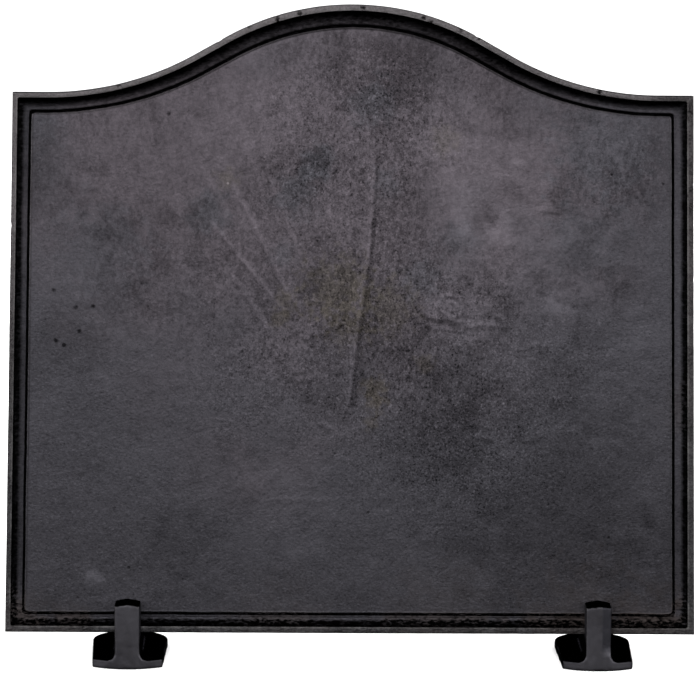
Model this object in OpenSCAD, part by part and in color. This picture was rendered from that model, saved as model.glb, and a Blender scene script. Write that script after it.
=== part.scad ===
// Cast-iron fireback: an arched plate with a moulded border, standing in two loose slotted feet.
// Origin: on the hearth under the middle of the object. +Z up, the moulded face looks along -Y.

/* [Plate] */
// Width of the plate along its bottom edge
plate_w = 600; // [500:10:700]
// Height of the shoulders above the bottom edge
shoulder_h = 469; // [380:1:560]
// Draw-in of each side edge, from the bottom edge up to the shoulder
side_taper = 6.5; // [0:0.5:15]
// Rise of the crown above the shoulders
crown_rise = 77; // [60:0.5:100]
// Flat length of each shoulder
shoulder_flat = 30; // [15:1:60]
// Length of the straight slope between the hollow and the crown
slope_len = 30; // [10:1:60]
// Radius of the crown's round top
crown_r = 225; // [160:1:250]
// Thickness of the plate at its rim
plate_t = 16; // [12:0.5:24]

/* [Border moulding] */
// Width of the flat rim
rim_w = 4.5; // [3:0.25:8]
// Width of the hollow inside the rim
cove_w = 9.5; // [6:0.5:14]
// Depth of the hollow below the rim
cove_drop = 5.5; // [3:0.25:6]
// Width of the flat bead between the hollow and the groove
bead_w = 1.5; // [1:0.25:3]
// Width of the groove round the field
groove_w = 2.8; // [2:0.1:4]
// Depth of the groove below the bead
groove_drop = 2.2; // [1:0.1:3]
// Depth of the field below the rim
field_drop = 6.5; // [4:0.25:8]
// Broken corner on the rim's front and back edges
arris = 0.8; // [0.4:0.1:1.2]

/* [Feet] */
// Length of a foot from front to back
foot_len = 122; // [100:1:140]
// Width of a foot at its front edge
foot_front_w = 61; // [50:1:70]
// Width of a foot where its half-round back begins
foot_back_w = 66; // [56:1:76]
// Radius of the curved front edge
foot_front_r = 52; // [40:1:90]
// Thickness of the sole
sole_t = 8; // [6:0.5:12]
// Width of the upright that holds the plate
upright_w = 22; // [16:1:30]
// Radius of the hollow where the upright meets the sole
fillet_r = 6; // [3:0.5:9]
// Depth of the front jaw, from the foot's front edge to the plate
jaw_depth = 24; // [18:1:30]
// Height of the front jaw at its side edges
jaw_h = 56; // [48:1:64]
// Rise of the ridge along the top of each jaw
ridge_rise = 2; // [1:0.5:4]
// Height of the rear jaw at its side edges
rear_jaw_h = 66; // [54:1:80]
// Thickness of the rear jaw at its top
rear_jaw_t = 12; // [8:1:16]
// Length of the brace behind the rear jaw
brace_len = 34; // [16:1:40]

/* [Standing] */
// Height of the slot's floor above the hearth
seat_h = 27.5; // [20:0.5:34]
// Backward lean of the slot and the plate, in degrees
lean = 4; // [0:0.5:6]
// Clearance between the plate and each wall of the slot
slot_gap = 0.4; // [0.3:0.1:1]
// Distance from the plate's left end to the middle of the left foot
left_inset = 107; // [40:1:200]
// Distance from the plate's right end to the middle of the right foot
right_inset = 85; // [40:1:200]

/* [Hidden] */

// Top outline: shoulder, hollow arc, straight slope and crown arc, each tangent to the next
half_w = plate_w / 2;
hollow_x = half_w - side_taper - shoulder_flat;
crown_h = shoulder_h + crown_rise;
radius_sum = (hollow_x * hollow_x + crown_rise * crown_rise - slope_len * slope_len) / (2 * crown_rise);
hollow_r = radius_sum - crown_r;
slope_angle = atan2(hollow_x, radius_sum - crown_rise) - atan2(slope_len, radius_sum);

// Steps along one hollow arc, along the crown arc, across the moulding's hollow and round a foot's curves
hollow_steps = 14;
crown_steps = 28;
cove_steps = 6;
edge_steps = 16;
fillet_steps = 8;

// Distances in from the plate's outline
cove_end = rim_w + cove_w;
groove_start = cove_end + bead_w;
field_inset = groove_start + groove_w;
groove_floor = cove_drop + groove_drop;

// A foot's depths, from the middle of its length
plate_y = jaw_depth - foot_len / 2;
slot_w = plate_t + 2 * slot_gap;
rear_jaw_y = plate_y + slot_w + (rear_jaw_h - seat_h) * tan(lean) + rear_jaw_t;
brace_y = rear_jaw_y + brace_len;
foot_h = rear_jaw_h + ridge_rise;

function arc(centre, r, from, to, steps) =
    [for (i = [0:steps])
        let (a = from + (to - from) * i / steps)
        centre + r * [cos(a), sin(a)]];

// Half the plate's width at height z, drawn in by d
function side_x(z, d) =
    let (slope = side_taper / shoulder_h)
    half_w - slope * z - d * norm([1, slope]);

// The plate's outline drawn in by d, anticlockwise from the bottom left corner
function outline(d) = concat(
    [[-side_x(d, d), d], [side_x(d, d), d], [side_x(shoulder_h - d, d), shoulder_h - d]],
    arc([hollow_x, shoulder_h + hollow_r], hollow_r + d, -90, -90 - slope_angle, hollow_steps),
    arc([0, crown_h - crown_r], crown_r - d, 90 - slope_angle, 90 + slope_angle, crown_steps),
    arc([-hollow_x, shoulder_h + hollow_r], hollow_r + d, slope_angle - 90, -90, hollow_steps),
    [[-side_x(shoulder_h - d, d), shoulder_h - d]]
);

// Section of the border as [inset, depth behind the rim's front], from the back to the field
section = concat(
    [[arris, plate_t], [0, plate_t - arris], [0, arris], [arris, 0]],
    [for (i = [0:cove_steps])
        let (a = 90 * i / cove_steps)
        [rim_w + cove_w * (1 - cos(a)), cove_drop * sin(a)]],
    [[groove_start, cove_drop],
     [groove_start + groove_w / 3, groove_floor],
     [groove_start + groove_w * 2 / 3, groove_floor],
     [field_inset, field_drop]]
);

// Places the children in the plate's leaning frame: z = 0 on the seat, y = 0 on the rim's front
module leaning() {
    translate([0, plate_y, seat_h])
        rotate([-lean, 0, 0])
            children();
}

// Faces that fill one ring of the plate, in strips between each point and its mirror image
function fill(first, count) =
    let (top = (count + 1) / 2)
    [for (face = concat(
        [[1, 2, 3, count - 2, count - 1, 0]],
        [for (i = [3:top - 2]) [i, i + 1, count - i, count + 1 - i]],
        [[top - 1, top, top + 1]]
    )) [for (i = face) first + i]];

function reversed(list) = [for (i = [len(list) - 1:-1:0]) list[i]];

// The plate as one closed shell: a ring of points for each step of the section, and two flat faces
module fireback_plate() {
    rings = [for (s = section) [for (p = outline(s[0])) [p[0], s[1], p[1]]]];
    count = len(rings[0]);
    last = len(rings) - 1;
    points = [for (ring = rings) for (p = ring) p];
    walls = [for (k = [0:last - 1]) for (i = [0:count - 1])
        let (j = (i + 1) % count)
        [k * count + i, (k + 1) * count + i, (k + 1) * count + j, k * count + j]];
    back = fill(0, count);
    field = [for (face = fill(last * count, count)) reversed(face)];
    color("#3a393c")
        leaning()
            polyhedron(points = points, faces = concat(walls, back, field));
}

// Plan of a foot: curved front edge, sides that spread a little, half-round back
module foot_plan() {
    front_half = asin(foot_front_w / (2 * foot_front_r));
    front_y = foot_front_r - foot_len / 2;
    back_r = foot_back_w / 2;
    back_y = foot_len / 2 - back_r;
    polygon(concat(
        arc([0, front_y], foot_front_r, -90 - front_half, -90 + front_half, edge_steps),
        arc([0, back_y], back_r, 0, 180, 2 * edge_steps)
    ));
}

// Front view of a foot: flat sole, hollow fillets, upright with a ridged top
module foot_front(eaves) {
    side = upright_w / 2;
    fillet_x = side + fillet_r;
    fillet_z = sole_t + fillet_r;
    polygon(concat(
        [[-foot_back_w, 0], [foot_back_w, 0], [foot_back_w, sole_t]],
        arc([fillet_x, fillet_z], fillet_r, -90, -180, fillet_steps),
        [[side, eaves], [0, eaves + ridge_rise], [-side, eaves]],
        arc([-fillet_x, fillet_z], fillet_r, 0, -90, fillet_steps),
        [[-foot_back_w, sole_t]]
    ));
}

// Side view of a foot: the upright's back slopes down to the sole as a brace
module foot_side() {
    polygon([
        [-foot_len / 2, 0],
        [foot_len / 2, 0],
        [foot_len / 2, sole_t],
        [brace_y, sole_t],
        [rear_jaw_y, foot_h],
        [-foot_len / 2, foot_h]
    ]);
}

// Runs a front view along Y between two depths
module from_to(front, back) {
    translate([0, back, 0])
        rotate([90, 0, 0])
            linear_extrude(back - front)
                children();
}

// One casting: the three views meet, and the leaning slot is cut down to the seat
module foot() {
    slot_middle = plate_y + plate_t / 2;
    color("#2f2e31")
        difference() {
            intersection() {
                linear_extrude(foot_h)
                    foot_plan();
                rotate([90, 0, 90])
                    linear_extrude(2 * foot_back_w, center = true)
                        foot_side();
                union() {
                    from_to(-foot_len / 2, slot_middle)
                        foot_front(jaw_h);
                    from_to(slot_middle, foot_len / 2)
                        foot_front(rear_jaw_h);
                }
            }
            leaning()
                translate([-foot_back_w, -slot_gap, 0])
                    cube([2 * foot_back_w, slot_w, foot_h]);
        }
}

module left_foot() {
    translate([left_inset - half_w, 0, 0])
        foot();
}

module right_foot() {
    translate([half_w - right_inset, 0, 0])
        foot();
}

fireback_plate();
left_foot();
right_foot();
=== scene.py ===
import math

import bmesh
import bpy
import numpy as np
from mathutils import Matrix, Vector, noise


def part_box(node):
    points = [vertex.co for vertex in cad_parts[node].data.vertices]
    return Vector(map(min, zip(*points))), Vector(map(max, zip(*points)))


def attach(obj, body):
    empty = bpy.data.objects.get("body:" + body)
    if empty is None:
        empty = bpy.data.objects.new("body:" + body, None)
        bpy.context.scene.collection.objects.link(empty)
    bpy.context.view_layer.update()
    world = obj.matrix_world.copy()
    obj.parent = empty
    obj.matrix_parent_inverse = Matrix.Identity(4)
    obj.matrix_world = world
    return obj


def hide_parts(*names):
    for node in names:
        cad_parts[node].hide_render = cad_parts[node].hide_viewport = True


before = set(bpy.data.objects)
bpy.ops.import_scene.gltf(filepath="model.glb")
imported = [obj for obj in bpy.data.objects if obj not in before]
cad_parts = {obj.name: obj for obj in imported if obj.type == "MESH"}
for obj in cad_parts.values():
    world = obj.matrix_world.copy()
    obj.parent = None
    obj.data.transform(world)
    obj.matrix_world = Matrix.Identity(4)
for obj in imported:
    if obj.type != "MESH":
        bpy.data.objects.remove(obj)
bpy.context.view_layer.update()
mm = 0.001  # the pieces below are written in millimetres
print("frame loaded:", ", ".join(sorted(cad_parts)))

# camera, at the angle the fireback was photographed from
camera = {
    "distance": 4.0,  # metres in front of the middle of the hearth
    "height": 0.917,
    "sideways": -0.0611,
    "lookDown": 9.002,  # degrees
    "turn": -0.855,
    "roll": 0.425,
    "lens": 239.7,
    "farthest": 60,
}


def placeCamera(c):
    data = bpy.data.cameras.new("camera")
    data.lens = c["lens"]
    data.clip_end = c["farthest"]
    obj = bpy.data.objects.new("camera", data)
    place = Matrix.Translation((c["sideways"], -c["distance"], c["height"]))
    turn = Matrix.Rotation(math.radians(c["turn"]), 4, "Z")
    tilt = Matrix.Rotation(math.radians(90 - c["lookDown"]), 4, "X")
    roll = Matrix.Rotation(math.radians(c["roll"]), 4, "Z")
    obj.matrix_world = place @ turn @ tilt @ roll
    bpy.context.scene.collection.objects.link(obj)
    bpy.context.scene.camera = obj


placeCamera(camera)
print("camera placed")


def smooth(value, low, high):
    share = np.clip((value - low) / (high - low), 0, 1)
    return share * share * (3 - 2 * share)


def swirl(points, size, seed, octaves=2):  # noise from about -1 to 1, with features of that size
    shift = Vector((17.3, 5.1, 11.7)) * seed
    return np.array([noise.fractal(Vector(p) / size + shift, 1.0, 2.0, octaves) for p in points])


def swirlSum(points, layers, lift=0):  # layers are share, size and seed
    return sum(share * (lift + swirl(points, size, seed)) for share, size, seed in layers)


def arcPoints(centre, radius, start, end, steps):  # angles in degrees
    angles = np.radians(np.linspace(start, end, steps))
    return [(centre[0] + radius * math.cos(a), centre[1] + radius * math.sin(a)) for a in angles]


def addMask(mesh, name, values):
    mesh.attributes.new(name, "FLOAT", "POINT").data.foreach_set("value", values.astype(np.float32))


def showPiece(name, mesh, material, body, node):
    mesh.materials.clear()
    mesh.materials.append(material)
    mesh.polygons.foreach_set("use_smooth", [True] * len(mesh.polygons))
    obj = bpy.data.objects.new(name, mesh)
    bpy.context.scene.collection.objects.link(obj)
    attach(obj, body)
    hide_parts(node)


# shader helpers

def put(tree, kind, inputs=None, **settings):
    node = tree.nodes.new("ShaderNode" + kind)
    for key, value in settings.items():
        setattr(node, key, value)
    for key, value in (inputs or {}).items():
        if isinstance(value, bpy.types.NodeSocket):
            tree.links.new(value, node.inputs[key])
        else:
            node.inputs[key].default_value = value
    return node


def calc(tree, operation, first, second=0.0, clamp=False):
    return put(tree, "Math", {0: first, 1: second}, operation=operation, use_clamp=clamp).outputs[0]


def add(tree, total, *others):
    for other in others:
        total = calc(tree, "ADD", total, other)
    return total


def times(tree, first, second):
    return calc(tree, "MULTIPLY", first, second)


def vectorCalc(tree, operation, first, second):
    return put(tree, "VectorMath", {0: first, 1: second}, operation=operation).outputs[0]


def measured(tree, operation, first, second):  # a number from two vectors
    return put(tree, "VectorMath", {0: first, 1: second}, operation=operation).outputs["Value"]


def band(tree, value, low, high, start=0.0, end=1.0):
    ends = {"Value": value, "From Min": low, "From Max": high, "To Min": start, "To Max": end}
    return put(tree, "MapRange", ends, interpolation_type="SMOOTHSTEP").outputs[0]


def swing(tree, noisy, reach):  # from -reach to reach, as the noise mostly lies between 0.3 and 0.7
    return band(tree, noisy, 0.3, 0.7, -reach, reach)


def flecks(tree, noisy):  # light where the noise is high and dark where it is low, nothing between
    light = band(tree, noisy, 0.54, 0.73)
    dark = band(tree, noisy, 0.46, 0.29, 0.0, 0.85)
    return calc(tree, "SUBTRACT", light, dark)


def tint(tree, share, first, second, way="MIX"):
    return put(tree, "Mix", {0: share, 6: first, 7: second}, data_type="RGBA", blend_type=way).outputs[2]


def shaded(tree, colour, shade):
    grey = put(tree, "CombineColor", {0: shade, 1: shade, 2: shade}).outputs[0]
    return tint(tree, 1.0, colour, grey, "MULTIPLY")


def maskOf(tree, name):
    return put(tree, "Attribute", attribute_name=name).outputs["Fac"]


def startGroup(name, inputs, outputs):
    group = bpy.data.node_groups.new(name, "ShaderNodeTree")
    for label, value in inputs.items():
        kind = "NodeSocketVector" if isinstance(value, tuple) else "NodeSocketFloat"
        group.interface.new_socket(label, in_out="INPUT", socket_type=kind).default_value = value
    for label in outputs:
        group.interface.new_socket(label, in_out="OUTPUT", socket_type="NodeSocketFloat")
    return group, group.nodes.new("NodeGroupInput").outputs, group.nodes.new("NodeGroupOutput").inputs


def useGroup(tree, group, inputs):
    return put(tree, "Group", inputs, node_tree=group).outputs


def startMaterial(name):
    material = bpy.data.materials.new(name)
    material.use_nodes = True
    material.node_tree.nodes.clear()
    return material, material.node_tree


# cloudy patches left by the blackening, drawn out up and down when Streak is under 1
def mottleGroup():
    inputs = {"Vector": (0, 0, 0), "Scale": 10.0, "Streak": 1.0, "Detail": 5.0}
    group, given, out = startGroup("blackeningMottle", inputs, ["Value"])
    squeeze = put(group, "CombineXYZ", {"X": 1.0, "Y": 1.0, "Z": given["Streak"]}).outputs[0]
    cloud = {
        "Vector": vectorCalc(group, "MULTIPLY", given["Vector"], squeeze),
        "Scale": given["Scale"],
        "Detail": given["Detail"],
        "Roughness": 0.62,
        "Distortion": 0.35,
    }
    group.links.new(put(group, "TexNoise", cloud).outputs[0], out["Value"])
    return group


sand = {
    "lumpScale": 0.3,  # against the grain's scale
    "poreScale": 0.16,
    "poreEdge": (0.12, 0.03),  # distances from a pore's middle where it starts and is open
    "poreDepth": 0.8,
}


# skin that the moulding sand leaves: a fine grain, coarser lumps and a few open pores
def sandSkinGroup():
    inputs = {"Vector": (0, 0, 0), "Grain": 420.0, "Lumps": 0.5, "Pores": 0.3}
    group, given, out = startGroup("sandSkin", inputs, ["Height", "Pore"])
    place = given["Vector"]
    fine = put(group, "TexNoise", {"Vector": place, "Scale": given["Grain"], "Detail": 3.0}).outputs[0]
    lumpScale = times(group, given["Grain"], sand["lumpScale"])
    coarse = put(group, "TexNoise", {"Vector": place, "Scale": lumpScale, "Detail": 2.0}).outputs[0]
    poreScale = times(group, given["Grain"], sand["poreScale"])
    cell = put(group, "TexVoronoi", {"Vector": place, "Scale": poreScale, "Randomness": 1.0})
    chance = put(group, "SeparateColor", {0: cell.outputs["Color"]}).outputs[0]
    chosen = calc(group, "LESS_THAN", chance, given["Pores"])
    pore = times(group, band(group, cell.outputs["Distance"], *sand["poreEdge"]), chosen)
    grainy = add(group, fine, times(group, coarse, given["Lumps"]))
    height = calc(group, "SUBTRACT", grainy, times(group, pore, sand["poreDepth"]))
    group.links.new(height, out["Height"])
    group.links.new(pore, out["Pore"])
    return group


# soft round patch with a ragged edge
def softSpotGroup():
    inputs = {"Vector": (0, 0, 0), "Centre": (0, 0, 0), "Reach": 0.05, "Ragged": 0.6, "Scale": 40.0}
    group, given, out = startGroup("softSpot", inputs, ["Mask"])
    place = given["Vector"]
    away = measured(group, "DISTANCE", place, given["Centre"])
    cloud = put(group, "TexNoise", {"Vector": place, "Scale": given["Scale"], "Detail": 4.0}).outputs[0]
    torn = times(group, calc(group, "SUBTRACT", cloud, 0.5), given["Ragged"])
    share = add(group, calc(group, "DIVIDE", away, given["Reach"]), torn)
    group.links.new(band(group, share, 1.0, 0.2), out["Mask"])
    return group


# mark along a straight line, broken here and there
def markLineGroup():
    inputs = {"Vector": (0, 0, 0), "Start": (0, 0, 0), "End": (0, 0, 1), "Width": 0.002}
    group, given, out = startGroup("markLine", inputs, ["Mask"])
    fromStart = vectorCalc(group, "SUBTRACT", given["Vector"], given["Start"])
    along = vectorCalc(group, "SUBTRACT", given["End"], given["Start"])
    travel = measured(group, "DOT_PRODUCT", fromStart, along)
    whole = measured(group, "DOT_PRODUCT", along, along)
    share = calc(group, "DIVIDE", travel, whole, clamp=True)
    nearest = put(group, "VectorMath", {0: along, "Scale": share}, operation="SCALE").outputs[0]
    away = measured(group, "DISTANCE", fromStart, nearest)
    near = band(group, calc(group, "DIVIDE", away, given["Width"]), 1.0, 0.0)
    broken = put(group, "TexNoise", {"Vector": given["Vector"], "Scale": 90.0, "Detail": 2.0}).outputs[0]
    group.links.new(times(group, near, band(group, broken, 0.15, 0.42)), out["Mask"])
    return group


mottle = mottleGroup()
sandSkin = sandSkinGroup()
softSpot = softSpotGroup()
markLine = markLineGroup()
print("shader groups built")


def mottled(tree, place, kind):  # kind is scale, streak and detail
    scale, streak, detail = kind
    return useGroup(tree, mottle, {"Vector": place, "Scale": scale, "Streak": streak, "Detail": detail})[0]


def ironSurface(tree, colour, roughness, height, look):
    bump = put(tree, "Bump", {"Strength": 1.0, "Distance": look["bumpDepth"], "Height": height}).outputs[0]
    iron = {"Base Color": colour, "Metallic": 1.0, "Roughness": roughness, "Normal": bump}
    shader = put(tree, "BsdfPrincipled", iron)
    shader.inputs["Specular Tint"].default_value = look["edgeShine"]
    put(tree, "OutputMaterial", {"Surface": shader.outputs[0]})


# arched plate, in its own upright frame: x across, y how deep behind the rim's front, z up from the bottom
plate = {
    "shoulderHeight": 469.0,
    "sideTaper": 6.5,
    "crownRise": 77.0,
    "crownRadius": 225.0,
    "shoulderFlat": 30.0,
    "slopeLength": 30.0,
    "thickness": 16.0,
    "lean": 4.0,  # degrees
    "seatHeight": 27.5,
    "rimPlace": -37.0,  # depth of the rim's front at the seat
    "columns": 440,  # steps of the front's grid, both even so that the back can take every second one
    "rows": 400,
    "backSkin": [(0.35, 45, 6), (0.18, 8, 7)],  # depth, size and seed of the noise that the back is sunk by
}
moulding = {
    "corner": 0.7,  # radius of the rim's outer corners
    "rimWidth": 4.5,
    "rimRound": 0.35,
    "coveWidth": 9.5,
    "coveDrop": 5.5,
    "beadWidth": 1.7,
    "beadRise": 0.3,
    "beadShape": [(0.35, 0.5), (0.8, 1.0)],  # shares of its width and of its rise
    "grooveWidth": 2.4,
    "grooveDrop": 1.9,
    "fieldDrop": 6.5,
    "fieldEase": (1.2, 0.1),  # width and height of the last step down to the field
    "cornerRounds": [(6, 2.5, 12), (2, 2.5, 5)],  # rounding passes, coming in between these insets
    "lipWear": 0.25,  # on the lip between the groove and the field
    "wander": 0.4,  # how far the groove strays from its line
    "strayNoise": [(0.6, 55, 3), (0.4, 11, 4)],  # share, size and seed
    "edgeLoss": 0.16,  # how far the outer edges are worn in
    "edgeRough": 0.09,
    "edgeSink": 0.12,
    "drift": {  # how much wider the casting left the rim, and then the whole moulding, on each side
        "left": (0.0, -1.6),
        "right": (1.4, 0.9),
        "bottom": (1.2, -0.8),
        "shoulder": (0.2, -0.4),
        "crown": (1.0, 1.7),
    },
    "shadeReach": {  # painted shade in the cove beside the rim: black as far as the first inset, thinning out to the second
        "bottom": (9.6, 13.4),
        "left": (8.6, 12.8),
        "right": (7.4, 11.6),
        "crown": (6.0, 11.8),
    },
    "shadeFilm": {"bottom": 0.0, "left": 0.42, "right": 0.12, "crown": 0.82},  # painted shade laid thinly all over it
    "shadeStray": 1.2,  # how far the painted shade's edge strays, and by how much the film varies
    "filmStray": 0.12,
    "nickReach": 2.2,
    "nicks": [  # place across and up, and depth
        (-65, 533, 1.3),
        (106, 519, 0.6),
        (-115, 513, 0.7),
        (-297, 354, 0.8),
        (298, 310, 0.6),
        (-180, 474, 0.5),
    ],
}
relief = {  # low shapes cast into the field, as start and end across and up, width and height
    "ridge": [
        ((18.8, 405), (13.8, 325), 3.8, 0.5),
        ((14.8, 340), (-3.0, 199), 3.8, 0.5),
    ],
    "ridgeTail": ((-4, 192), (-2, 143), 2.4, -0.35),
    "fan": [
        ((-120.5, 356), (-60.5, 283), 2.4, 0.32),
        ((-102, 388), (-53, 292), 2.4, 0.32),
        ((-71, 396), (-45.5, 331), 2.4, 0.3),
        ((-102, 310), (-74, 268), 2.4, 0.28),
        ((-135, 413), (-108, 368), 3.2, 0.12),
        ((-22, 370), (-6, 332), 2.4, 0.22),
    ],
    "steepness": {"ridge": 2.2, "fan": 1.5},  # of each right flank, against the left one
    "wrinkles": [
        ((157, 370), (186, 366), 2.2, 0.2),
        ((192, 366), (209, 361), 2.0, -0.2),
        ((62, 277), (102, 270), 2.2, 0.32),
        ((66, 271), (106, 264), 2.0, -0.2),
        ((92, 266), (145, 269), 2.4, 0.3),
        ((153, 300), (214, 275), 3.0, -0.16),
        ((103, 174), (129, 170), 2.2, 0.3),
        ((-28, 182), (-15, 177), 2.0, 0.25),
        ((-88, 116), (25, 115), 1.6, 0.08),
    ],
    "rings": [  # place, radius and height
        ((87, 285), 9.0, 0.42),
        ((87, 285), 3.5, 0.3),
        ((31, 199), 12.0, 0.16),
    ],
    "ringWidth": 2.2,
    "sway": (1.6, 26),  # how far the lines wander, and over what length
    "swell": (0.5, 70),  # height and size
    "lumps": (0.26, 17),
    "ripple": (0.09, 9),
    "fewerLumps": 0.3,  # share of them outside the right half's middle
    "markSpread": 1.5,  # width of a line's painted highlight, shade or mark in the iron's colour, against its own width
    "ridgeHighlight": 1.9,  # width of the painted highlight along the ridge's crest
}

halfWidth = (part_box("fireback_plate")[1].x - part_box("fireback_plate")[0].x) / 2 / mm
crownHeight = plate["shoulderHeight"] + plate["crownRise"]
hollowX = halfWidth - plate["sideTaper"] - plate["shoulderFlat"]
crownRise = plate["crownRise"]
slopeLength = plate["slopeLength"]
radiusSum = (hollowX ** 2 + crownRise ** 2 - slopeLength ** 2) / (2 * crownRise)  # crown's and hollow's
hollowRadius = radiusSum - plate["crownRadius"]
slopeAngle = math.atan2(hollowX, radiusSum - crownRise) - math.atan2(slopeLength, radiusSum)


def sideX(z, inset):  # half the width at a height, drawn in by the inset
    slope = plate["sideTaper"] / plate["shoulderHeight"]
    return halfWidth - slope * z - inset * math.hypot(1, slope)


def topEdge(x, inset):  # height of the top edge across the plate, drawn in by the inset
    x = np.abs(x)
    crown = plate["crownRadius"] - inset
    hollow = hollowRadius + inset
    slopeX = crown * math.sin(slopeAngle)
    hollowStart = hollowX - hollow * math.sin(slopeAngle)
    crownZ = crownHeight - plate["crownRadius"]
    onCrown = crownZ + np.sqrt(np.maximum(crown ** 2 - x ** 2, 0))
    onSlope = crownZ + crown * math.cos(slopeAngle) - (x - slopeX) * math.tan(slopeAngle)
    hollowZ = plate["shoulderHeight"] + hollowRadius
    onHollow = hollowZ - np.sqrt(np.maximum(hollow ** 2 - (x - hollowX) ** 2, 0))
    flat = plate["shoulderHeight"] - inset + 0 * x
    return np.select([x <= slopeX, x <= hollowStart, x <= hollowX], [onCrown, onSlope, onHollow], flat)


def driftAt(side, inset):  # comes in across the rim, and then across the rest of the moulding
    rim, whole = moulding["drift"][side]
    return rim * smooth(inset, 0.8, 4.5) + (whole - rim) * smooth(inset, 5, 18)


def gridAt(inset, columns, rows):  # points that fill the outline, as rows of columns
    across = np.linspace(0, 1, columns + 1)
    up = np.linspace(0, 1, rows + 1)
    low = inset + driftAt("bottom", inset)
    shoulder = inset + driftAt("shoulder", inset)
    rise = low + up * (plate["shoulderHeight"] - shoulder - low)
    left = -sideX(rise, inset + driftAt("left", inset))
    right = sideX(rise, inset + driftAt("right", inset))
    x = left[:, None] + across[None, :] * (right - left)[:, None]
    nearCrown = smooth(np.abs(x[-1]), 230, 60)  # full at the crown, none at the shoulders
    top = topEdge(x[-1], shoulder + (driftAt("crown", inset) - driftAt("shoulder", inset)) * nearCrown)
    z = low + up[:, None] * (top[None, :] - low)
    return x, z


def borderOf(columns, rows):  # places in the grid that run once round its border
    places = [(0, i) for i in range(columns)] + [(j, columns) for j in range(rows)]
    return places + [(rows, i) for i in range(columns, 0, -1)] + [(j, 0) for j in range(rows, 0, -1)]


def ringAt(inset, rounds):
    x, z = gridAt(inset, plate["columns"], plate["rows"])
    ring = np.array([(x[place], z[place]) for place in borderOf(plate["columns"], plate["rows"])])
    for _ in range(rounds):  # each pass rounds the corners a little more
        ring = ring / 2 + (np.roll(ring, 1, axis=0) + np.roll(ring, -1, axis=0)) / 4
    return ring


def mouldingSection(m):  # inset and depth, from the back's edge round the rim and down to the field
    back = plate["thickness"] - m["corner"]
    coveEnd = m["rimWidth"] + m["coveWidth"]
    grooveStart = coveEnd + m["beadWidth"]
    fieldStart = grooveStart + m["grooveWidth"]
    section = arcPoints((m["corner"], back), m["corner"], 90, 180, 4)
    section += [(0, back - share * (back - m["corner"])) for share in (0.25, 0.5, 0.75)]
    section += arcPoints((m["corner"], m["corner"]), m["corner"], 180, 270, 4)
    section += arcPoints((m["rimWidth"] - m["rimRound"], m["rimRound"]), m["rimRound"], 270, 345, 4)
    for angle in np.radians((20, 30, 40, 50, 60, 70, 80, 90)):
        inset = m["rimWidth"] + m["coveWidth"] * (1 - math.cos(angle))
        section.append((inset, m["coveDrop"] * math.sin(angle)))
    for across, up in m["beadShape"]:
        section.append((coveEnd + m["beadWidth"] * across, m["coveDrop"] - m["beadRise"] * up))
    for share in (0.08, 0.2, 0.35, 0.5, 0.65, 0.8, 0.92):
        floor = m["coveDrop"] + share * (m["fieldDrop"] - m["coveDrop"])
        depth = floor + m["grooveDrop"] * math.sin(math.pi * share)
        section.append((grooveStart + share * m["grooveWidth"], depth))
    easeWidth, easeHeight = m["fieldEase"]
    return section + [(fieldStart, m["fieldDrop"] - easeHeight), (fieldStart + easeWidth, m["fieldDrop"])]


def lean(points):  # from the plate's upright frame to where it stands
    angle = math.radians(plate["lean"])
    x, y, z = np.asarray(points, float).T
    depth = plate["rimPlace"] + y * math.cos(angle) + z * math.sin(angle)
    height = plate["seatHeight"] + z * math.cos(angle) - y * math.sin(angle)
    return np.stack([x, depth, height], axis=1)


def onPlate(across, up, depth):  # that place on the plate's front, in metres, for the shaders
    return tuple(float(v) for v in lean([(across, depth, up)])[0] * mm)


def lineRelief(x, z, line, steepness=1.0):  # low ridge or furrow along a line
    (x0, z0), (x1, z1), width, height = line
    right = (x - x0) * (z1 - z0) < (z - z0) * (x1 - x0)
    width = np.where(right, width / steepness, width)
    along = ((x - x0) * (x1 - x0) + (z - z0) * (z1 - z0)) / ((x1 - x0) ** 2 + (z1 - z0) ** 2)
    share = np.clip(along, 0, 1)
    away = np.hypot(x - x0 - share * (x1 - x0), z - z0 - share * (z1 - z0))
    return height * np.exp(-(away / width) ** 2) * smooth(share, -0.05, 0.15) * smooth(share, 1.05, 0.6)


def fieldRelief(x, z):  # height above the flat field
    points = np.stack([x, np.zeros_like(x), z], axis=1)
    swell, swellSize = relief["swell"]
    ripple, rippleSize = relief["ripple"]
    lumps, lumpSize = relief["lumps"]
    sway, swayLength = relief["sway"]
    height = swell * swirl(points, swellSize, 1) + ripple * swirl(points, rippleSize, 2, 3)
    lumpy = smooth(x, 20, 90) * smooth(z, 120, 180) * smooth(z, 400, 320)
    height += lumps * (relief["fewerLumps"] + lumpy) * swirl(points * (1, 1, 0.8), lumpSize, 12, 2)
    height += lineRelief(x, z, relief["ridgeTail"])
    for line in relief["ridge"]:
        height += lineRelief(x, z, line, relief["steepness"]["ridge"])
    sway = sway * np.stack([swirl(points, swayLength, 13), swirl(points, swayLength, 14)])
    for line in relief["fan"]:
        height += lineRelief(x + 0.5 * sway[0], z + 0.5 * sway[1], line, relief["steepness"]["fan"])
    for line in relief["wrinkles"]:
        height += lineRelief(x + sway[0], z + 2 * sway[1], line)
    for (ringX, ringZ), radius, high in relief["rings"]:
        away = np.hypot(x - ringX + sway[0], z - ringZ + sway[1]) - radius
        height += high * np.exp(-(away / relief["ringWidth"]) ** 2)
    toEdge = np.minimum(np.minimum(z, topEdge(x, 0) - z), sideX(z, 0) - np.abs(x))
    return height * smooth(toEdge - moulding["rimWidth"], 15, 30)  # it fades out before the moulding


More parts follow.
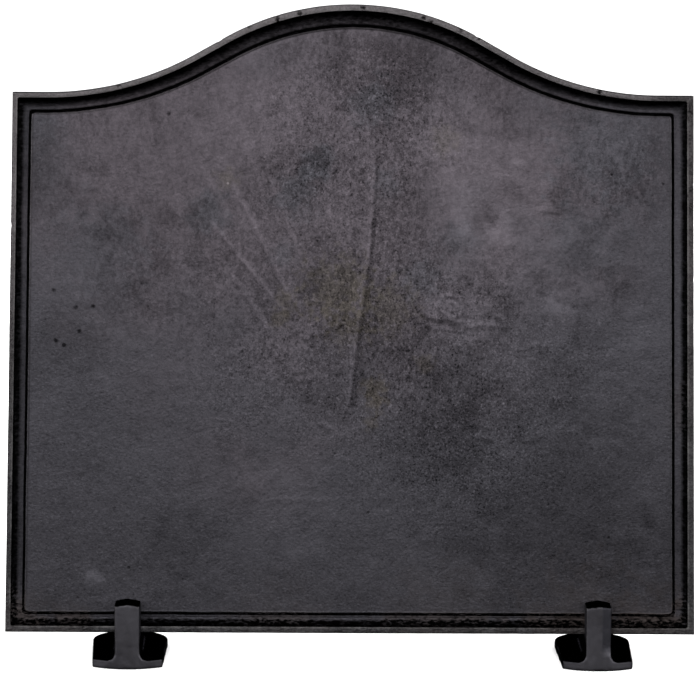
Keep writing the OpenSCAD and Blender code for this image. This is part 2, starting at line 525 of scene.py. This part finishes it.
def paintedShadeOn(ring, inset, stray):  # share of painted shade along a ring of the moulding, black in the groove
    m = moulding
    grooveStart = m["rimWidth"] + m["coveWidth"] + m["beadWidth"]
    share = (inset - grooveStart) / m["grooveWidth"]
    if 0 < share < 1:
        return np.full(len(ring), smooth(share, 0, 0.15) * smooth(share, 1, 0.85))
    films = m["shadeFilm"]
    onCrown = smooth(ring[:, 1], 425, 500)
    low = smooth(ring[:, 1], 30, 12)
    onRight = smooth(ring[:, 0], -200, 200)
    reach = {side: np.array(ends)[:, None] for side, ends in m["shadeReach"].items()}
    sides = reach["left"] + (reach["right"] - reach["left"]) * onRight
    black, thin = sides * (1 - onCrown - low) + reach["crown"] * onCrown + reach["bottom"] * low
    side = films["left"] + (films["right"] - films["left"]) * onRight
    film = films["bottom"] + (side - films["bottom"]) * smooth(ring[:, 1], 12, 50)
    film = film + (films["crown"] - side) * onCrown + m["filmStray"] * stray
    layer = film + (1 - film) * smooth(inset, thin + m["shadeStray"] * stray, black)
    return layer * smooth(inset, m["rimWidth"] - 0.2, m["rimWidth"] + 0.3)


def nickOf(ring, inset):  # dents in the rim's outer edge
    depth = np.zeros(len(ring))
    for x, z, deep in moulding["nicks"]:
        away = np.hypot(ring[:, 0] - x, ring[:, 1] - z)
        depth += deep * np.exp(-(away / moulding["nickReach"]) ** 2)
    return depth * (1 - smooth(inset, 1.5, 5))


def castBorder(section):  # rings of points from the back's edge round the rim to the field, with their masks
    rimWidth = moulding["rimWidth"]
    half = plate["thickness"] / 2
    rings = []
    wear = []
    paintedShade = []
    for inset, depth in section:
        rounds = sum(passes * smooth(inset, start, end) for passes, start, end in moulding["cornerRounds"])
        ring = ringAt(inset, int(round(rounds)))
        inward = ringAt(inset + 1, 0) - ringAt(inset, 0)
        flat = np.stack([ring[:, 0], np.full(len(ring), depth), ring[:, 1]], axis=1)
        stray = swirlSum(flat * (1, 0, 1), moulding["strayNoise"])
        step = stray * moulding["wander"] * smooth(inset, 4, 14)
        step = step + moulding["edgeLoss"] * (1 + stray) * (1 - smooth(inset, 1, 4)) + nickOf(ring, inset)
        rough = moulding["edgeRough"] * swirl(flat, 5, 5) + moulding["edgeSink"]
        paintedShade.append(paintedShadeOn(ring, inset, stray))
        ring = ring + inward * step[:, None]
        rings.append(np.stack([ring[:, 0], depth + rough * ((half - depth) / half), ring[:, 1]], axis=1))
        rim = smooth(inset, rimWidth + 0.3, rimWidth - 0.1) * (depth < 1.2)
        rim *= 0.8 + 0.2 * smooth(inset, rimWidth - 0.6, rimWidth - 0.3)  # brightest on the inner arris
        lip = moulding["lipWear"] * smooth(inset, section[-1][0] - 1.6, section[-1][0] - 1.2)
        wear.append(np.full(len(ring), rim + lip))
    return rings, list(np.concatenate(wear)), list(np.concatenate(paintedShade))


def addGrid(points, x, z, depth, border):  # adds the points inside the border and numbers the whole grid
    index = np.full(x.shape, -1)
    for place, number in border:
        index[place] = number
    for place in map(tuple, np.argwhere(index < 0)):
        index[place] = len(points)
        points.append((x[place], depth[place], z[place]))
    return index


def backFace(corners, count):  # a border edge also holds the ring's point in between
    face = []
    for a, b in zip(corners, corners[1:] + corners[:1]):
        face.append(a)
        if a < count and b < count:
            low, high = sorted((a, b))
            face.append((low + high) // 2 if high - low == 2 else count - 1)
    return face


def buildPlate(material):
    section = mouldingSection(moulding)
    columns, rows = plate["columns"], plate["rows"]
    rings, wear, paintedShade = castBorder(section)
    count = len(rings[0])
    innermost = (len(rings) - 1) * count
    points = list(np.concatenate(rings))
    faces = []
    for first in range(0, innermost, count):
        for i in range(count):
            j = (i + 1) % count
            faces.append((first + i, first + j, first + count + j, first + count + i))

    # field, its border being the last ring
    x, z = gridAt(section[-1][0], columns, rows)
    depth = moulding["fieldDrop"] - fieldRelief(x.ravel(), z.ravel()).reshape(x.shape)
    border = [(place, innermost + i) for i, place in enumerate(borderOf(columns, rows))]
    index = addGrid(points, x, z, depth, border)
    for j in range(rows):
        for i in range(columns):
            faces.append((index[j, i], index[j, i + 1], index[j + 1, i + 1], index[j + 1, i]))

    # back, at half the field's steps, its border being every second point of the first ring
    columns, rows = columns // 2, rows // 2
    x, z = gridAt(section[0][0], columns, rows)
    flat = np.stack([x.ravel(), np.zeros(x.size), z.ravel()], axis=1)
    depth = plate["thickness"] - swirlSum(flat, plate["backSkin"], 1).reshape(x.shape)
    border = [(place, 2 * i) for i, place in enumerate(borderOf(columns, rows))]
    index = addGrid(points, x, z, depth, border)
    for j in range(rows):
        for i in range(columns):
            corners = [index[j, i], index[j + 1, i], index[j + 1, i + 1], index[j, i + 1]]
            faces.append(backFace(corners, count))

    mesh = bpy.data.meshes.new("fireback_plate_iron")
    mesh.from_pydata((lean(points) * mm).tolist(), [], [tuple(int(v) for v in f) for f in faces])
    for name, mask in (("wear", wear), ("paintedShade", paintedShade), ("moulding", [1.0] * innermost)):
        addMask(mesh, name, np.array(mask + [0.0] * (len(points) - len(mask))))
    showPiece("arched_plate", mesh, material, "plate", "fireback_plate")


plateLook = {
    "mauve": (0.0765, 0.0672, 0.0768, 1),
    "slate": (0.068, 0.0655, 0.0755, 1),
    "olive": (0.076, 0.067, 0.062, 1),
    "rubbed": (0.115, 0.106, 0.110, 1),
    "dullRim": (0.112, 0.109, 0.114, 1),  # the same iron, less handled, low on the rim
    "arris": (0.24, 0.232, 0.232, 1),
    "brown": (0.068, 0.056, 0.054, 1),
    # near-black for painted shade, also taken for the crust's and rust's darkening
    "paintedShade": (0.001, 0.001, 0.001, 1),
    "edgeShine": (0.05, 0.05, 0.05, 1),  # how much of it is left at a low angle
    "roughness": (0.46, 0.54),
    "rubbedRoughness": -0.04,
    "rustRoughness": 0.1,
    "bumpDepth": 0.00022,
    "crustHeight": 2.4,  # against the sand skin's height
    "skin": {"Grain": 420.0, "Lumps": 0.8, "Pores": 0.10},
    "mottle": {  # scale, streak and detail
        "clouds": (13.0, 0.7, 6.0),
        "blotches": (55.0, 0.7, 5.0),
        "streaks": (280.0, 0.7, 3.0),
        "pepper": (640.0, 1.0, 2.0),
        "pitting": (210.0, 1.2, 3.0),
        "ripples": (400.0, 2.2, 2.0),
        "crust": (220.0, 2.2, 4.0),
    },
    "cloudSwing": 0.15,  # how much lighter and darker
    "blotchSwing": 0.22,
    "calm": 0.28,  # share of these left away from the mauve iron
    "streakDepth": (0.18, 0.36),  # away from the gritty spots and on them
    "pepperDepth": (0.2, 0.8),
    "pittingDepth": (0.02, 0.22),
    "rippleDepth": 0.4,
    "poreShade": -0.4,
    "deepestShade": -0.42,  # before the grain goes on
    "leastShade": 0.15,
    "ridgeShine": 0.75,  # of the line along its crest
    "heightShade": (0.04, 0.2, 0.88, 0.98),  # heights in metres and how light the iron is there: darker towards the bottom, partly painted shade where less light falls and partly darker iron
    "rimShades": [(0.31, 0.38, 0.50, 0.76), (0.42, 0.56, 0.0, 0.13)],  # the same for the rim, added up: painted light, the rim lighter towards the crown
    "rimBlotchSwing": 0.12,
    "rimPepperSwing": 0.2,
    "rubbedFrom": (0.1, 0.37),
    "arrisShine": (0.08, 0.4),  # least and most
    "crustReach": (0.085, 0.045),  # heights between which the crust starts
    "crustDirt": (0.12, 0.3),  # above and within its reach
    "rustDirt": 0.6,
    "strayRust": 0.25,  # share of the rust that reaches the field
    "rimRust": 0.4,  # share that holds on the rubbed rim
    "raggedness": {  # how ragged the spots below are, and the scale of their edges
        "mauveSpots": (0.7, 14.0),
        "gritSpots": (0.5, 14.0),
        "stains": (2.2, 160.0),
        "greySpots": (1.8, 110.0),
        "patches": (1.4, 45.0),
        "pits": (0.8, 500.0),
        "specks": (0.3, 400.0),
        "rusty": (1.6, 90.0),
        "rimPatches": (1.0, 60.0),
        "rimDarkSpots": (2.0, 500.0),
    },
    "mauveSpots": [  # place across and up, reach in metres and strength
        ((-15, 400), 0.31, 1.0),
        ((-200, 415), 0.17, 0.6),
        ((190, 410), 0.13, 0.5),
        ((-120, 150), 0.06, 0.25),
        ((-60, 130), 0.06, 0.2),
    ],
    "gritSpots": [
        ((-10, 440), 0.12, 0.75),
        ((0, 300), 0.18, 0.6),
        ((40, 270), 0.10, 0.3),
        ((150, 235), 0.14, 0.55),
        ((60, 190), 0.15, 0.7),
        ((-90, 215), 0.09, 0.55),
        ((120, 130), 0.12, 0.25),
        ((-150, 310), 0.10, 0.25),
        ((215, 400), 0.09, 0.35),
        ((75, 450), 0.09, 0.35),
    ],
    "stains": [
        ((-11, 299), 0.042, 0.8),
        ((-4, 270), 0.030, 0.5),
        ((30, 284), 0.034, 0.6),
        ((-58, 290), 0.014, 0.7),
        ((-62, 274), 0.012, 0.7),
        ((20, 213), 0.014, 0.9),
        ((20, 200), 0.012, 0.8),
        ((63, 235), 0.012, 0.6),
        ((17, 184), 0.009, 0.6),
        ((-108, 395), 0.014, 0.5),
        ((80, 430), 0.018, 0.4),
    ],
    "greySpots": [
        ((17, 462), 0.030, 0.8),
        ((-31, 410), 0.020, 0.9),
        ((-48, 384), 0.028, 0.8),
        ((-124, 366), 0.026, 0.8),
        ((-60, 330), 0.016, 0.6),
        ((225, 425), 0.070, 0.9),
        ((-288, 440), 0.045, 0.9),
        ((60, 310), 0.030, 0.7),
        ((90, 345), 0.022, 0.6),
        ((28, 392), 0.020, 0.6),
        ((205, 345), 0.050, 0.7),
        ((-215, 330), 0.060, 0.7),
    ],
    "patches": [  # place across and up, reach in metres and how much lighter or darker
        ((-94, 463), 0.060, 0.11),
        ((-219, 419), 0.060, 0.05),
        ((-230, 100), 0.160, -0.07),
        ((-160, 405), 0.080, 0.06),
        ((-265, 400), 0.055, -0.20),
        ((-262, 237), 0.060, -0.20),
        ((-98, 411), 0.040, 0.14),
        ((161, 413), 0.045, 0.30),
        ((110, 330), 0.045, 0.24),
        ((112, 385), 0.070, 0.48),
        ((75, 430), 0.050, 0.25),
        ((150, 340), 0.060, 0.30),
        ((-40, 445), 0.060, 0.15),
        ((39, 490), 0.050, -0.18),
        ((-20, 483), 0.035, -0.16),
        ((25, 455), 0.035, -0.20),
        ((-31, 411), 0.017, -0.30),
        ((-124, 362), 0.028, -0.22),
        ((40, 250), 0.050, -0.22),
        ((-28, 215), 0.040, -0.12),
        ((-45, 105), 0.060, 0.18),
        ((-149, 63), 0.050, -0.14),
        ((90, 215), 0.060, -0.28),
        ((70, 165), 0.060, -0.22),
        ((205, 265), 0.024, -0.14),
        ((185, 225), 0.040, -0.10),
        ((180, 100), 0.150, -0.25),
        ((100, 275), 0.030, 0.22),
        ((125, 235), 0.024, 0.18),
        ((67, 291), 0.016, 0.25),
        ((180, 288), 0.018, 0.25),
        ((249, 258), 0.030, 0.15),
        ((-223, 47), 0.010, 0.35),
        ((275, 395), 0.060, -0.14),
        ((265, 60), 0.070, -0.12),
    ],
    "pits": [  # the same
        ((-256, 254), 0.0028, -0.8),
        ((-249, 250), 0.0028, -0.8),
        ((-239, 283), 0.0028, -0.8),
        ((-224, 284), 0.0028, -0.8),
        ((-258, 298), 0.0028, -0.8),
        ((-159, 451), 0.0028, -0.8),
        ((-236, 262), 0.0028, -0.8),
    ],
    "specks": [  # the same
        ((-108, 391), 0.0016, 1.6),
        ((132, 201), 0.0016, 1.6),
    ],
    "rusty": [  # on the border, as place, reach and strength
        ((200, 10), 0.070, 1.0),
        ((262, 12), 0.045, 1.0),
        ((-288, 12), 0.035, 0.8),
        ((-245, 9), 0.030, 0.7),
        ((-60, 9), 0.060, 0.5),
        ((80, 9), 0.070, 0.6),
        ((294, 200), 0.040, 0.3),
    ],
    "runs": [  # start and end across and up, width and how much lighter or darker
        ((197, 280), (195, 256), 2.4, -0.25),
        ((229, 300), (227, 286), 2.4, -0.25),
        ((-230, 52), (-214, 44), 3.0, 0.35),
        ((15, 410), (11, 336), 4.5, 0.2),  # lit left flank of the ridge
        ((11, 340), (-8, 199), 4.5, 0.1),
        ((21, 412), (17, 336), 2.0, -0.34),  # shade along its right flank
        ((17.6, 340), (-0.4, 199), 2.6, -0.34),
        ((21, 330), (2, 204), 5.0, -0.16),
    ],
    "rimPatches": [  # on the rim, as the patches on the field
        ((296, 420), 0.090, -0.30),
        ((298, 360), 0.060, -0.32),
        ((290, 472), 0.050, -0.20),
        ((140, 498), 0.060, -0.18),
        ((60, 540), 0.050, -0.08),
        ((-285, 468), 0.040, -0.18),
        ((-290, 2), 0.030, 0.20),
        ((-80, 2), 0.060, 0.12),
        ((270, 2), 0.040, 0.12),
    ],
    "rimDarkSpots": [  # dark marks on the rim, and painted shade in its nicks: place across and up, reach in metres and strength
        ((8, 543), 0.0032, 0.9),
        ((-66, 533), 0.0032, 0.9),
        ((-66, 529), 0.0032, 0.9),
        ((60, 535), 0.0032, 0.9),
        ((66, 531), 0.0032, 0.9),
        ((92, 525), 0.0032, 0.9),
        ((-90, 527), 0.0032, 0.9),
        ((108, 518), 0.0032, 0.9),
        ((-47, 538), 0.0032, 0.9),
        ((-120, 513), 0.0032, 0.9),
        ((-202, 476), 0.0032, 0.9),
        ((212, 472), 0.0032, 0.9),
    ],
}


def marked(tree, place, kind, depth=moulding["fieldDrop"]):  # one mask from all the spots of a kind
    ragged, scale = plateLook["raggedness"][kind]
    total = 0.0
    for centre, reach, strength in plateLook[kind]:
        centre = onPlate(*centre, depth)
        spot = {"Vector": place, "Centre": centre, "Reach": reach, "Ragged": ragged, "Scale": scale}
        total = add(tree, total, times(tree, useGroup(tree, softSpot, spot)[0], strength))
    return total


def lined(tree, place, lines):  # one mask from several lines, a relief's height being the line's strength, so that raised lines get a painted highlight
    total = 0.0
    for start, end, width, strength in lines:
        start, end = (onPlate(*point, moulding["fieldDrop"]) for point in (start, end))
        width = relief["markSpread"] * width * mm
        line = {"Vector": place, "Start": start, "End": end, "Width": width}
        total = add(tree, total, times(tree, useGroup(tree, markLine, line)[0], strength))
    return total


def fieldColour(tree, place, mauve):
    look = plateLook
    colour = tint(tree, mauve, look["slate"], look["mauve"])
    colour = tint(tree, marked(tree, place, "greySpots"), colour, look["slate"])
    return tint(tree, marked(tree, place, "stains"), colour, look["olive"])


def fieldShade(tree, place, mauve, layers, pores):
    look = plateLook
    gritty = marked(tree, place, "gritSpots")
    cloudy = swing(tree, layers["clouds"], look["cloudSwing"])
    blotchy = swing(tree, layers["blotches"], look["blotchSwing"])
    streaky = swing(tree, layers["streaks"], 1.0)
    streaky = times(tree, streaky, band(tree, gritty, 0.0, 1.0, *look["streakDepth"]))
    shade = add(tree, cloudy, blotchy, streaky)
    shade = times(tree, shade, band(tree, mauve, 0.0, 0.8, look["calm"], 1.0))

    # patches and lines, with the grain over them
    # painted highlight along the crests of the ridge and the fan lines, and the runs' painted light and shade
    # along the ridge's flanks
    ridge = [(start, end, relief["ridgeHighlight"], high) for start, end, _, high in relief["ridge"]]
    ridgeLight = times(tree, lined(tree, place, ridge), look["ridgeShine"])
    shade = add(tree, shade, marked(tree, place, "patches"), lined(tree, place, relief["fan"]))
    shade = add(tree, shade, ridgeLight, lined(tree, place, look["runs"]))
    shade = calc(tree, "MAXIMUM", shade, look["deepestShade"])
    grit = times(tree, flecks(tree, layers["pepper"]), band(tree, gritty, 0.0, 1.0, *look["pepperDepth"]))
    pocked = times(tree, flecks(tree, layers["pitting"]), band(tree, gritty, 0.0, 1.0, *look["pittingDepth"]))
    rippled = times(tree, band(tree, mauve, 0.6, 0.0), look["rippleDepth"])
    rippled = times(tree, flecks(tree, layers["ripples"]), rippled)
    shade = add(tree, shade, add(tree, grit, pocked), rippled, times(tree, pores, look["poreShade"]))
    return add(tree, shade, marked(tree, place, "pits"), marked(tree, place, "specks"))


def rimColour(tree, place, up, worn, layers):  # the rubbed rim, with painted light making it lighter towards the crown
    look = plateLook
    shade = add(tree, *(band(tree, up, *ends) for ends in look["rimShades"]))
    shade = add(tree, shade, marked(tree, place, "rimPatches", 0.0))
    shade = add(tree, shade, swing(tree, layers["blotches"], look["rimBlotchSwing"]))
    shade = add(tree, shade, swing(tree, layers["pepper"], look["rimPepperSwing"]))
    colour = tint(tree, band(tree, up, *look["rubbedFrom"]), look["dullRim"], look["rubbed"])
    arris = band(tree, layers["blotches"], 0.4, 0.6, *look["arrisShine"])
    arris = times(tree, band(tree, worn, 0.92, 1.0), arris)
    return tint(tree, arris, shaded(tree, colour, shade), look["arris"])


def plateIron():
    look = plateLook
    material, tree = startMaterial("blackened_plate_iron")
    place = put(tree, "TexCoord").outputs["Object"]
    up = put(tree, "SeparateXYZ", {0: place}).outputs["Z"]
    layers = {name: mottled(tree, place, kind) for name, kind in look["mottle"].items()}
    skin = useGroup(tree, sandSkin, {"Vector": place, **look["skin"]})
    worn, paintedShade, border = (maskOf(tree, name) for name in ("wear", "paintedShade", "moulding"))

    mauve = marked(tree, place, "mauveSpots")
    shade = fieldShade(tree, place, mauve, layers, skin["Pore"])
    shade = add(tree, shade, band(tree, up, *look["heightShade"]))
    shade = calc(tree, "MAXIMUM", shade, look["leastShade"])
    colour = shaded(tree, fieldColour(tree, place, mauve), shade)
    rim = rimColour(tree, place, up, worn, layers)
    colour = tint(tree, band(tree, worn, 0.0, 0.8), colour, rim)

    # rust, crust and painted shade, mostly on the moulding
    rusty = calc(tree, "MAXIMUM", border, look["strayRust"])
    rusty = calc(tree, "MULTIPLY", marked(tree, place, "rusty"), rusty, clamp=True)
    rusty = times(tree, rusty, band(tree, worn, 0.3, 0.8, 1.0, look["rimRust"]))
    crusty = times(tree, border, band(tree, up, *look["crustReach"]))
    ragged = add(tree, band(tree, crusty, 0.0, 1.0, *look["crustDirt"]), times(tree, rusty, look["rustDirt"]))
    ragged = times(tree, times(tree, ragged, border), swing(tree, layers["crust"], 1.0))
    # one near-black over the moulding's painted shade, the crust's and rust's darkening and the rim's dark
    # spots
    shadeAndDirt = add(tree, paintedShade, ragged, marked(tree, place, "rimDarkSpots", 0.0))
    shadeAndDirt = calc(tree, "MAXIMUM", calc(tree, "MINIMUM", shadeAndDirt, 1.0), 0.0)
    colour = tint(tree, rusty, colour, look["brown"])
    colour = tint(tree, shadeAndDirt, colour, look["paintedShade"])

    roughness = band(tree, layers["blotches"], 0.2, 0.8, *look["roughness"])
    roughness = add(tree, roughness, times(tree, worn, look["rubbedRoughness"]))
    roughness = add(tree, roughness, times(tree, rusty, look["rustRoughness"]))
    scale = times(tree, add(tree, crusty, rusty), layers["crust"])
    height = add(tree, skin["Height"], times(tree, scale, look["crustHeight"]))
    ironSurface(tree, colour, roughness, height, look)
    return material


buildPlate(plateIron())
print("plate cast")

# loose feet, each a rounded and faceted copy of its casting
feet = {
    "voxel": 0.9,
    "rounds": 5,  # smoothing passes, which set how round the edges are
    "grain": 0.07,
    "grainNoise": [(1.0, 6, 0), (0.6, 22, 2)],  # share, size and step from the foot's own seed
    "seeds": {"left_foot": 8, "right_foot": 9},
    "weld": 0.005,
    "setBack": 0.12,
    "inside": 0.02,  # what is kept clear of the casting's box
    "soleHeights": (0.5, 3),  # the grain fades in between these, so that the sole stays flat
    "bevelHeights": (12, 22),  # the bevels fade in between these
    "rubbedBulge": (0.05, 0.25),  # how sharp an edge is, from untouched to rubbed
    "rubbedHeights": ((10, 16), (66, 60)),  # fading in above the sole and out below the top
    # painted shade on the low sides and on the lip's top beside the upright, with the heights it fades over
    "sideShade": 0.95,
    "sideShadeHeights": (32, 22),
    "lipShade": 0.8,
    "lipHeights": ((3.5, 8), (12, 9)),
    "bevels": {  # start of the bevel across the upright and its slope; the painted shade on the bevelled face starts there too
        "left_foot": (9.4, 0.3),
        "right_foot": (2.6, 0.24),
    },
}


def remeshed(node):
    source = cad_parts[node].data.copy()
    work = bmesh.new()
    work.from_mesh(source)
    bmesh.ops.remove_doubles(work, verts=work.verts, dist=feet["weld"] * mm)
    work.to_mesh(source)
    work.free()
    obj = bpy.data.objects.new("remesh", source)
    bpy.context.scene.collection.objects.link(obj)
    modifier = obj.modifiers.new("voxels", "REMESH")
    modifier.mode = "VOXEL"
    modifier.voxel_size = feet["voxel"] * mm
    graph = bpy.context.evaluated_depsgraph_get()
    mesh = bpy.data.meshes.new_from_object(obj.evaluated_get(graph))
    bpy.data.objects.remove(obj)
    return mesh


def neighbourMean(points, edges):
    total = np.zeros_like(points)
    count = np.zeros(len(points))
    for a, b in (edges.T, edges.T[::-1]):
        np.add.at(total, a, points[b])
        np.add.at(count, a, 1)
    return total / np.maximum(count, 1)[:, None]


def buildFoot(node, material):
    mesh = remeshed(node)
    points = np.zeros(len(mesh.vertices) * 3)
    mesh.vertices.foreach_get("co", points)
    points = points.reshape(-1, 3) / mm
    edges = np.zeros(len(mesh.edges) * 2, np.int32)
    mesh.edges.foreach_get("vertices", edges)
    edges = edges.reshape(-1, 2)
    for _ in range(feet["rounds"]):
        points = (points + neighbourMean(points, edges)) / 2

    low, high = (np.array(corner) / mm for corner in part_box(node))
    middle = (low[0] + high[0]) / 2
    across = points[:, 0] - middle
    start, slope = feet["bevels"][node]
    front = smooth(points[:, 1], plate["rimPlace"] - 3, low[1] + 6)
    front *= smooth(points[:, 2], *feet["bevelHeights"])
    points[:, 1] += np.maximum(across - start, 0) * slope * front
    local = points - (middle, 0, 0)
    seed = feet["seeds"][node]
    layers = [(share, size, seed + step) for share, size, step in feet["grainNoise"]]
    grain = feet["grain"] * swirlSum(local, layers)
    lifted = smooth(points[:, 2], *feet["soleHeights"])
    points[:, 1] += grain * lifted + feet["setBack"]
    points[:, 2] -= np.abs(grain) * lifted
    np.clip(points, low + feet["inside"], high - feet["inside"], out=points)
    points[points[:, 2] < 0.1, 2] = feet["inside"]
    mesh.vertices.foreach_set("co", (points * mm).ravel())
    mesh.update()

    normals = np.zeros(len(mesh.vertices) * 3)
    mesh.vertices.foreach_get("normal", normals)
    normals = normals.reshape(-1, 3)
    up = points[:, 2]
    mean = neighbourMean(neighbourMean(points, edges), edges)
    bulge = np.einsum("ij,ij->i", points - mean, normals)
    low, high = feet["rubbedHeights"]
    addMask(mesh, "edge", smooth(bulge, *feet["rubbedBulge"]) * smooth(up, *low) * smooth(up, *high))
    # painted shade: the upright's right-hand bevelled face darker
    addMask(mesh, "shadedFacet", smooth(across, start, start + 1.2) * front)
    # painted shade: black on the base's tops under the plate, on the low sides and on the lip's top
    atFront = smooth(points[:, 1], plate["rimPlace"] + 15, plate["rimPlace"])
    facingUp = normals[:, 2] + 0.12 * swirl(local, 5, seed + 4)
    onTop = smooth(facingUp, 0.55 - 0.47 * atFront, 0.85 - 0.4 * atFront)  # painted shade on the tops, hanging over the edges at the front
    facingAside = smooth(np.abs(normals[:, 0]), 0.6, 0.9)
    lowSides = feet["sideShade"] * facingAside * smooth(up, *feet["sideShadeHeights"])
    besideUpright = smooth(np.abs(across), 12, 18)
    low, high = feet["lipHeights"]
    lipTop = feet["lipShade"] * atFront * smooth(up, *low) * besideUpright * smooth(up, *high)
    addMask(mesh, "paintedShade", np.maximum(np.maximum(onTop, lowSides), lipTop))
    showPiece(node + "_casting", mesh, material, node, node)


footLook = {
    "iron": (0.101, 0.098, 0.111, 1),
    "dull": (0.080, 0.077, 0.087, 1),
    "rubbed": (0.15, 0.14, 0.14, 1),
    # darker iron colour for the painted shade on that bevelled face
    "shadedFacet": (0.050, 0.049, 0.058, 1),
    # near-black for the painted shade
    "paintedShade": (0.001, 0.001, 0.001, 1),
    "edgeShine": (0.0, 0.0, 0.0, 1),  # none of its shine is left at a low angle
    "roughness": (0.44, 0.54),
    "rubbedShare": (0.1, 0.45),  # least and most
    "bumpDepth": 0.00008,
    "skin": {"Grain": 600.0, "Lumps": 0.8, "Pores": 0.15},
    "mottle": {"clouds": (60.0, 0.5, 4.0), "streaks": (500.0, 0.3, 2.0)},  # scale, streak and detail
}


def footIron():
    look = footLook
    material, tree = startMaterial("blackened_foot_iron")
    place = put(tree, "TexCoord").outputs["Object"]
    clouds, streaks = (mottled(tree, place, kind) for kind in look["mottle"].values())
    skin = useGroup(tree, sandSkin, {"Vector": place, **look["skin"]})
    colour = tint(tree, band(tree, clouds, 0.35, 0.65), look["dull"], look["iron"])
    rubbed = times(tree, maskOf(tree, "edge"), band(tree, streaks, 0.3, 0.6, *look["rubbedShare"]))
    colour = tint(tree, rubbed, colour, look["rubbed"])
    # painted shade on the bevelled face
    colour = tint(tree, maskOf(tree, "shadedFacet"), colour, look["shadedFacet"])
    # painted shade
    colour = tint(tree, maskOf(tree, "paintedShade"), colour, look["paintedShade"])
    roughness = band(tree, clouds, 0.2, 0.8, *look["roughness"])
    ironSurface(tree, colour, roughness, skin["Height"], look)
    return material


footMaterial = footIron()
for node in ("left_foot", "right_foot"):
    buildFoot(node, footMaterial)
print("feet cast")

# pale floor and soft studio light
studio = {
    "floorReach": 30.0,
    "floorColour": (0.9, 0.9, 0.9, 1),
    "skyStrength": 1.6,
    "skyColour": (1, 1, 1, 1),
    "aim": (0, 0, 0.3),
    "softboxes": {
        "front": {"place": (-0.25, -3.5, 1.3), "size": (2.4, 1.5), "power": 54},
        "left": {"place": (-2.8, -2.3, 1.2), "size": (2.0, 1.6), "power": 57},
        "right": {"place": (2.8, -2.3, 1.2), "size": (2.0, 1.6), "power": 62},
        "farLeft": {"place": (-3.5, -0.1, 1.3), "size": (1.5, 1.5), "power": 42},
        "farRight": {"place": (3.5, -0.1, 1.3), "size": (1.5, 1.5), "power": 42},
        "back": {"place": (0.3, 3.5, 1.3), "size": (2.4, 1.5), "power": 90},
        "backLeft": {"place": (-2.8, 2.1, 1.2), "size": (2.0, 1.6), "power": 50},
        "backRight": {"place": (2.8, 2.1, 1.2), "size": (2.0, 1.6), "power": 50},
    },
}


def softbox(name, box):
    data = bpy.data.lights.new(name, "AREA")
    data.shape = "RECTANGLE"
    data.size, data.size_y = box["size"]
    data.energy = box["power"]
    obj = bpy.data.objects.new(name, data)
    obj.location = box["place"]
    obj.rotation_mode = "QUATERNION"
    obj.rotation_quaternion = (Vector(studio["aim"]) - obj.location).to_track_quat("-Z", "Y")
    obj.visible_camera = False
    bpy.context.scene.collection.objects.link(obj)


def layFloor():
    reach = studio["floorReach"]
    mesh = bpy.data.meshes.new("floor")
    corners = [(-reach, -reach, 0), (reach, -reach, 0), (reach, reach, 0), (-reach, reach, 0)]
    mesh.from_pydata(corners, [], [(0, 1, 2, 3)])
    material, tree = startMaterial("pale_floor")
    paint = put(tree, "BsdfDiffuse", {"Color": studio["floorColour"]})
    put(tree, "OutputMaterial", {"Surface": paint.outputs[0]})
    mesh.materials.append(material)
    floor = bpy.data.objects.new("floor", mesh)
    floor.visible_glossy = False
    bpy.context.scene.collection.objects.link(floor)


def paintSky():
    world = bpy.data.worlds.new("sky")
    world.use_nodes = True
    sky = world.node_tree.nodes["Background"].inputs
    sky["Strength"].default_value = studio["skyStrength"]
    sky["Color"].default_value = studio["skyColour"]
    world.cycles_visibility.glossy = False
    bpy.context.scene.world = world


layFloor()
paintSky()
for name, box in studio["softboxes"].items():
    softbox(name, box)
bpy.context.scene.view_settings.view_transform = "Standard"
print("studio lit")
